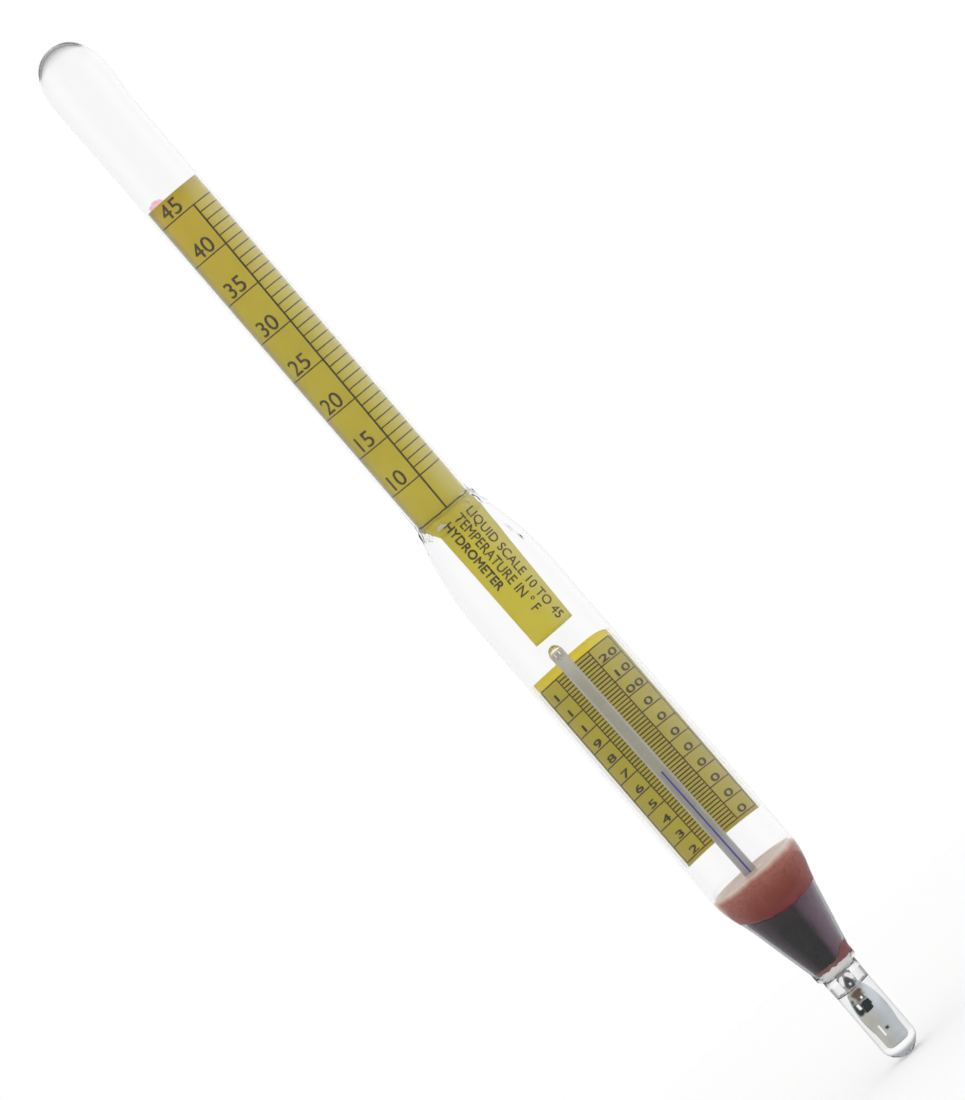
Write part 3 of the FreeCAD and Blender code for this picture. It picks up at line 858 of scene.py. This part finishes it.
def make_lower_wax():
    """This wax wets the glass on its right side only."""
    wax = fill(packing_top, lambda x, y: ballast_foot(x, y) + 0.1,
               gap=lambda angle: WET if math.cos(angle) > 0.25 else 0.1,
               hole=1.75, rows=10, rings=10)
    add_piece("wax_lower", wax, lower_wax_material(), "lower_wax")


def make_packing():
    fibre = fill(packing_foot, lambda x, y: packing_top(x, y) + 0.05, gap=lambda angle: 0.1,
                 hole=1.75, rows=10, rings=12, relief=lambda point: 0.08 * noise.noise(point * 2.5))
    add_piece("fibre_packing", fibre, packing_material(), "neck_packing")


# ---- paper and print

def arc_length(x, radius):
    """Distance round a curved face from its middle to a place at x."""
    return radius * math.asin(x / radius)


# Places on the printed faces: distance from the middle, height, and lift off the paper.

def on_roll(along, height, lift):
    angle = along / ROLL_RADIUS
    radius = ROLL_RADIUS + lift
    return Vector((radius * math.sin(angle), -radius * math.cos(angle), height))


def on_tongue(along, height, lift):
    angle = along / TONGUE_RADIUS
    radius = TONGUE_RADIUS + lift
    return Vector((radius * math.sin(angle), TONGUE_CENTRE_Y - radius * math.cos(angle), height))


def on_card(along, height, lift):
    angle = along / CARD_RADIUS
    radius = CARD_RADIUS - lift
    return Vector((radius * math.sin(angle), CARD_CENTRE_Y + radius * math.cos(angle), height))


def sheet_grid(mesh, corner, columns, rows):
    """A sheet of faces. Corner gives the point at shares across and up."""
    grid = [[mesh.verts.new(corner(column / columns, row / rows)) for column in range(columns + 1)]
            for row in range(rows + 1)]
    for lower, upper in zip(grid, grid[1:]):
        for index in range(columns):
            mesh.faces.new((lower[index], lower[index + 1], upper[index + 1], upper[index]))


def thicken(piece, thickness):
    solid = piece.modifiers.new("thickness", "SOLIDIFY")
    solid.thickness = thickness * MM
    solid.offset = -1.0


def blend(low, high, share):
    return low + (high - low) * share


def make_stem_paper():
    """One sheet: a roll with a butt joint at the back, and a tongue that hangs below it."""
    mesh = bmesh.new()
    half_turn = math.radians(178.5) * ROLL_RADIUS
    tongue_left, tongue_right = -4.5, 7.4

    def roll(across, up):
        return on_roll(blend(-half_turn, half_turn, across), blend(ROLL_FOOT, ROLL_TOP, up), 0.0)

    def root(across, up):
        above = on_roll(blend(arc_length(-7.0, ROLL_RADIUS), arc_length(7.1, ROLL_RADIUS), across),
                        ROLL_FOOT, 0.0)
        below = on_tongue(blend(arc_length(tongue_left, TONGUE_RADIUS),
                                arc_length(tongue_right, TONGUE_RADIUS), across),
                          TONGUE_TOP, 0.0)
        return below.lerp(above, up)

    def tongue(across, up):
        left = blend(-4.1, tongue_left, up)
        right = blend(6.7, tongue_right, up)
        return on_tongue(arc_length(blend(left, right, across), TONGUE_RADIUS),
                         blend(128.1, TONGUE_TOP, up), 0.0)

    sheet_grid(mesh, roll, 120, 24)
    sheet_grid(mesh, root, 32, 6)
    sheet_grid(mesh, tongue, 32, 24)
    bmesh.ops.remove_doubles(mesh, verts=mesh.verts, dist=0.001)
    piece = add_piece("paper_roll", mesh, paper_material(), "stem_scale")
    thicken(piece, 0.12)


def make_card():
    """Hollow card, cut away a little at its upper right corner."""
    mesh = bmesh.new()
    half = arc_length(10.75, CARD_RADIUS)

    def face(across, up):
        along = blend(-half, half, across)
        top = 121.2 - 0.9 * max(0.0, (along / half - 0.55) / 0.45) ** 2
        return on_card(along, blend(65.8, top, up), 0.0)

    sheet_grid(mesh, face, 60, 40)
    piece = add_piece("card", mesh, card_material(), "thermometer_scale")
    thicken(piece, 0.25)


def print_line(mesh, surface, start, end, width):
    """A raised line of ink between two places (along, height) on a face."""
    start = Vector(start)
    end = Vector(end)
    length = (end - start).length
    side = Vector((-(end - start).y, (end - start).x)) / length * width / 2
    count = max(1, math.ceil(length / 0.5))
    stations = []
    for index in range(count + 1):
        middle = start.lerp(end, index / count)
        corners = []
        for sign, lift in ((-1, SUNK), (1, SUNK), (1, INK), (-1, INK)):
            place = middle + side * sign
            corners.append(mesh.verts.new(surface(place.x, place.y, lift)))
        stations.append(corners)
    for near, far in zip(stations, stations[1:]):
        for index in range(4):
            following = (index + 1) % 4
            mesh.faces.new((near[index], near[following], far[following], far[index]))
    mesh.faces.new(stations[0][::-1])
    mesh.faces.new(stations[-1])


def print_text(mesh, surface, words, place, size, turned=0.0, align="LEFT", stretch=1.0,
               spacing=1.0, strikes=MEDIUM):
    """Raised lettering on a face. Place is (along, height) of the text's base line.

    Strikes are shifts in millimetres. Lettering struck more than once looks bold.
    """
    curve = bpy.data.curves.new("lettering", "FONT")
    curve.body = words
    curve.align_x = align
    curve.size = 1.0
    curve.extrude = 0.01
    curve.space_character = spacing
    curve.resolution_u = 4
    holder = bpy.data.objects.new("lettering", curve)
    bpy.context.scene.collection.objects.link(holder)
    graph = bpy.context.evaluated_depsgraph_get()
    data = bpy.data.meshes.new_from_object(holder.evaluated_get(graph))
    letters = bmesh.new()
    letters.from_mesh(data)
    bpy.data.objects.remove(holder)
    bpy.data.curves.remove(curve)
    bpy.data.meshes.remove(data)

    capital = 0.7       # height of a capital letter at size 1
    scale = size / capital
    flat = (Matrix.Translation((place[0], place[1], 0)) @ Matrix.Rotation(turned, 4, "Z")
            @ Matrix.Diagonal((scale * stretch, scale, 1.0, 1.0)))
    bmesh.ops.transform(letters, matrix=flat, verts=letters.verts)
    step = 0.3          # cuts this far apart let the letters follow the curved face
    cut = min(vertex.co.x for vertex in letters.verts) + step
    high = max(vertex.co.x for vertex in letters.verts)
    while cut < high:
        bmesh.ops.bisect_plane(letters, geom=letters.verts[:] + letters.edges[:] + letters.faces[:],
                               plane_co=(cut, 0, 0), plane_no=(1, 0, 0))
        cut += step
    for shift_along, shift_up in strikes:
        struck = letters.copy()
        for vertex in struck.verts:
            lift = INK if vertex.co.z > 0 else SUNK
            vertex.co = surface(vertex.co.x + shift_along, vertex.co.y + shift_up, lift)
        copy = bpy.data.meshes.new("lettering")
        struck.to_mesh(copy)
        struck.free()
        mesh.from_mesh(copy)
        bpy.data.meshes.remove(copy)
    letters.free()


def make_stem_print(ink):
    """Degree scale on the roll, 10 to 45, and the words on the tongue.

    The roll's print is a little askew, and so is the line that divides numbers from degrees.
    """
    mesh = bmesh.new()
    skew = math.tan(math.radians(0.82))
    half_width = math.radians(98.0) * ROLL_RADIUS
    foot = 165.8
    ten = 175.5
    forty_five = 256.2
    thin = 0.3

    def skewed(along, height, lift):
        return on_roll(along, height - skew * along, lift)

    def divider(height):
        return blend(1.0, 2.3, (height - foot) / (forty_five - foot))

    print_line(mesh, skewed, (divider(foot), foot), (divider(forty_five), forty_five), 0.45)
    print_line(mesh, skewed, (-half_width, foot), (half_width, foot), 0.35)
    for degree in range(10, 46):
        share = (degree - 10) / 35.0
        height = blend(ten, forty_five, share)
        if degree % 5 == 0:
            print_line(mesh, skewed, (-half_width, height), (half_width, height), thin)
            centre = blend(-4.1, -2.4, share)
            print_text(mesh, skewed, str(degree), (centre, height + 0.65), 3.9, align="CENTER")
        else:
            print_line(mesh, skewed, (divider(height), height), (half_width, height), thin)

    down = -math.pi / 2
    # words, place across the tongue, start, size, stretch, strikes
    lines = (
        ("HYDROMETER", -2.5, 163.0, 2.1, 1.0, BOLD),
        ("TEMPERATURE IN ° F", 0.5, 162.8, 2.4, 0.89, MEDIUM),
        ("LIQUID SCALE 10 TO 45", 3.7, 162.5, 2.3, 0.94, MEDIUM),
    )
    for words, base, start, size, stretch, strikes in lines:
        print_text(mesh, on_tongue, words, (arc_length(base, TONGUE_RADIUS), start), size, down,
                   stretch=stretch, strikes=strikes)
    add_piece("stem_print", mesh, ink)


def make_card_print(ink):
    """Fahrenheit scale, 20 to 120, with its ladder of degrees behind the capillary tube.

    Each upright line is given by its x at the frame's foot and at its head.
    """
    mesh = bmesh.new()
    foot = 66.8
    head = 118.75
    degree = 0.4722
    thin = 0.3

    def height_of(degrees):
        return foot + (degrees - 20) * degree

    def across(bottom_x, top_x, height):
        x = blend(bottom_x, top_x, (height - foot) / (head - foot))
        return arc_length(x, CARD_RADIUS)

    def line_up(bottom_x, top_x):
        print_line(mesh, on_card, (across(bottom_x, top_x, foot), foot),
                   (across(bottom_x, top_x, head), head), thin)

    def line_across(height, left, right, width):
        print_line(mesh, on_card, (across(*left, height), height), (across(*right, height), height),
                   width)

    left, inner_left = (-10.55, -10.55), (-4.7, -5.8)
    right, inner_right = (10.55, 10.2), (5.2, 4.1)
    for edge in (left, inner_left, inner_right, right):
        line_up(*edge)
    line_across(head, left, right, thin)
    for degrees in range(20, 130, 2):
        height = height_of(degrees)
        if degrees % 10 == 0 and degrees <= 120:
            line_across(height, left, right, thin)
            first_digit, others = str(degrees)[0], str(degrees)[1:]
            for words, bottom_x, top_x in ((first_digit, -7.2, -8.7), (others, 7.7, 7.3)):
                print_text(mesh, on_card, words, (across(bottom_x, top_x, height), height + 0.45),
                           1.75, align="CENTER", stretch=2.1, spacing=1.08, strikes=BOLD)
        elif height < 118.3:
            line_across(height, inner_left, inner_right, 0.34)
    add_piece("card_print", mesh, ink)


# ---- dabs

def make_dab(name, finish, node, radius, thickness, bottom, height, start, sweep):
    """An uneven dab against the inside of the glass, thinning to its edges.

    Start is its azimuth in degrees, and sweep how far it goes on from there.
    """
    mesh = bmesh.new()

    def point(across, up, is_inner):
        angle = math.radians(start + sweep * across)
        edge = math.sin(math.pi * across) ** 0.5 * math.sin(math.pi * up) ** 0.5
        uneven = 0.75 + 0.25 * noise.noise(Vector((across * 6, up * 3, radius)))
        depth = (0.06 + 0.94 * edge * uneven) * thickness if is_inner else 0.0
        droop = 1.0 - 0.9 * abs(noise.noise(Vector((across * 11, 4.0, radius))))
        reach = radius - 0.01 - depth
        return Vector((reach * math.cos(angle), reach * math.sin(angle),
                       bottom + height * up * droop * (0.5 + 0.5 * math.sin(math.pi * across))))

    columns, rows = 24, 10
    outer = {}
    inner = {}
    for row in range(rows + 1):
        for column in range(columns + 1):
            across, up = column / columns, row / rows
            outer[row, column] = mesh.verts.new(point(across, up, False))
            inner[row, column] = mesh.verts.new(point(across, up, True))
    for row in range(rows):
        for column in range(columns):
            cell = [(row, column), (row, column + 1), (row + 1, column + 1), (row + 1, column)]
            mesh.faces.new([outer[corner] for corner in cell])
            mesh.faces.new([inner[corner] for corner in reversed(cell)])
    rim = ([(0, column) for column in range(columns)] + [(row, columns) for row in range(rows)]
           + [(rows, column) for column in range(columns, 0, -1)]
           + [(row, 0) for row in range(rows, 0, -1)])
    for here, there in zip(rim, rim[1:] + rim[:1]):
        mesh.faces.new((outer[there], outer[here], inner[here], inner[there]))
    add_piece(name, mesh, finish, node, sharp=60.0)


def make_dabs():
    """Pink adhesive at the roll's top edge, and pale cement at the tongue's root."""
    # The pink dab glows a little, as painted light.
    pink = dab_material("adhesive", (255, 178, 200), (255, 222, 230), 0.5, 0.3)
    make_dab("pink_dab", pink, "scale_adhesive", radius=STEM_RADIUS - STEM_WALL,
             thickness=0.45, bottom=ROLL_TOP, height=1.6, start=213.5, sweep=36.0)
    pale = dab_material("cement", (232, 224, 190), (245, 240, 214), 0.4)
    make_dab("pale_dab", pale, "tongue_cement", radius=7.62,
             thickness=0.4, bottom=162.7, height=1.5, start=239.0, sweep=20.0)


# ---- stage

def make_floor():
    mesh = bmesh.new()
    bmesh.ops.create_circle(mesh, cap_ends=True, radius=0.25, segments=96)
    data = bpy.data.meshes.new("floor")
    mesh.to_mesh(data)
    mesh.free()
    data.materials.append(floor_material())
    floor = bpy.data.objects.new("floor", data)
    bpy.context.scene.collection.objects.link(floor)


def make_world():
    """White all round. Mirrored rays see greyer walls in front and on the left, so reflections
    don't veil what is inside the glass. Bent rays see a grey ceiling, which outlines the stem's end.
    """
    world = bpy.data.worlds.new("studio")
    bpy.context.scene.world = world
    world.use_nodes = True
    tree = world.node_tree
    background = tree.nodes["Background"]
    place = tree.nodes.new("ShaderNodeTexCoord")
    facing = tree.nodes.new("ShaderNodeVectorMath")
    facing.operation = "DOT_PRODUCT"
    dark_side = math.radians(-40.0)
    facing.inputs[1].default_value = (math.sin(dark_side), -math.cos(dark_side), 0.0)
    tree.links.new(place.outputs["Generated"], facing.inputs[0])
    room = spread(tree, facing.outputs["Value"], -0.45, 0.35)
    split = tree.nodes.new("ShaderNodeSeparateXYZ")
    tree.links.new(place.outputs["Generated"], split.inputs["Vector"])
    ceiling = spread(tree, split.outputs["Z"], 0.2, 0.5)
    room_share = compute(tree, "MULTIPLY", room, seen_directly(tree, "Glossy Depth"))
    ceiling_share = compute(tree, "MULTIPLY", ceiling, seen_directly(tree, "Transmission Depth"))
    colour = mix(tree, room_share, WHITE, (185, 186, 190))
    colour = mix(tree, ceiling_share, colour, (165, 166, 170))
    tree.links.new(colour, background.inputs["Color"])


def make_camera():
    """A long lens, a little above the object's middle and rolled about its own axis."""
    distance = 1.4          # in metres
    view_width = 0.2536
    middle = 153.0
    elevation = math.radians(2.1)
    roll = math.radians(40.68)
    across = Vector((1, 0, 0))
    up = Vector((0, math.sin(elevation), math.cos(elevation)))
    back = Vector((0, -math.cos(elevation), math.sin(elevation)))
    right = across * math.cos(roll) - up * math.sin(roll)
    top = across * math.sin(roll) + up * math.cos(roll)
    target = Vector((0, 0, middle)) * MM + right * 0.8 * MM + top * 0.46 * MM
    lens = bpy.data.cameras.new("camera")
    lens.sensor_width = 36.0
    lens.lens = lens.sensor_width * distance / view_width
    lens.clip_end = 10.0
    camera = bpy.data.objects.new("camera", lens)
    bpy.context.scene.collection.objects.link(camera)
    place = Matrix((right, top, back)).transposed().to_4x4()
    place.translation = target + back * distance
    camera.matrix_world = place
    bpy.context.scene.camera = camera


bpy.context.scene.view_settings.view_transform = "Standard"
make_camera()
make_world()
make_floor()
make_stem_glass()
make_body_glass()
make_bulb_glass()
make_bulb_liquid()
make_capillary_glass()
make_enamel()
make_thread()
make_sealing_wax()
make_ballast()
make_lower_wax()
make_packing()
make_stem_paper()
make_card()
ink = ink_material()
make_stem_print(ink)
make_card_print(ink)
make_dabs()
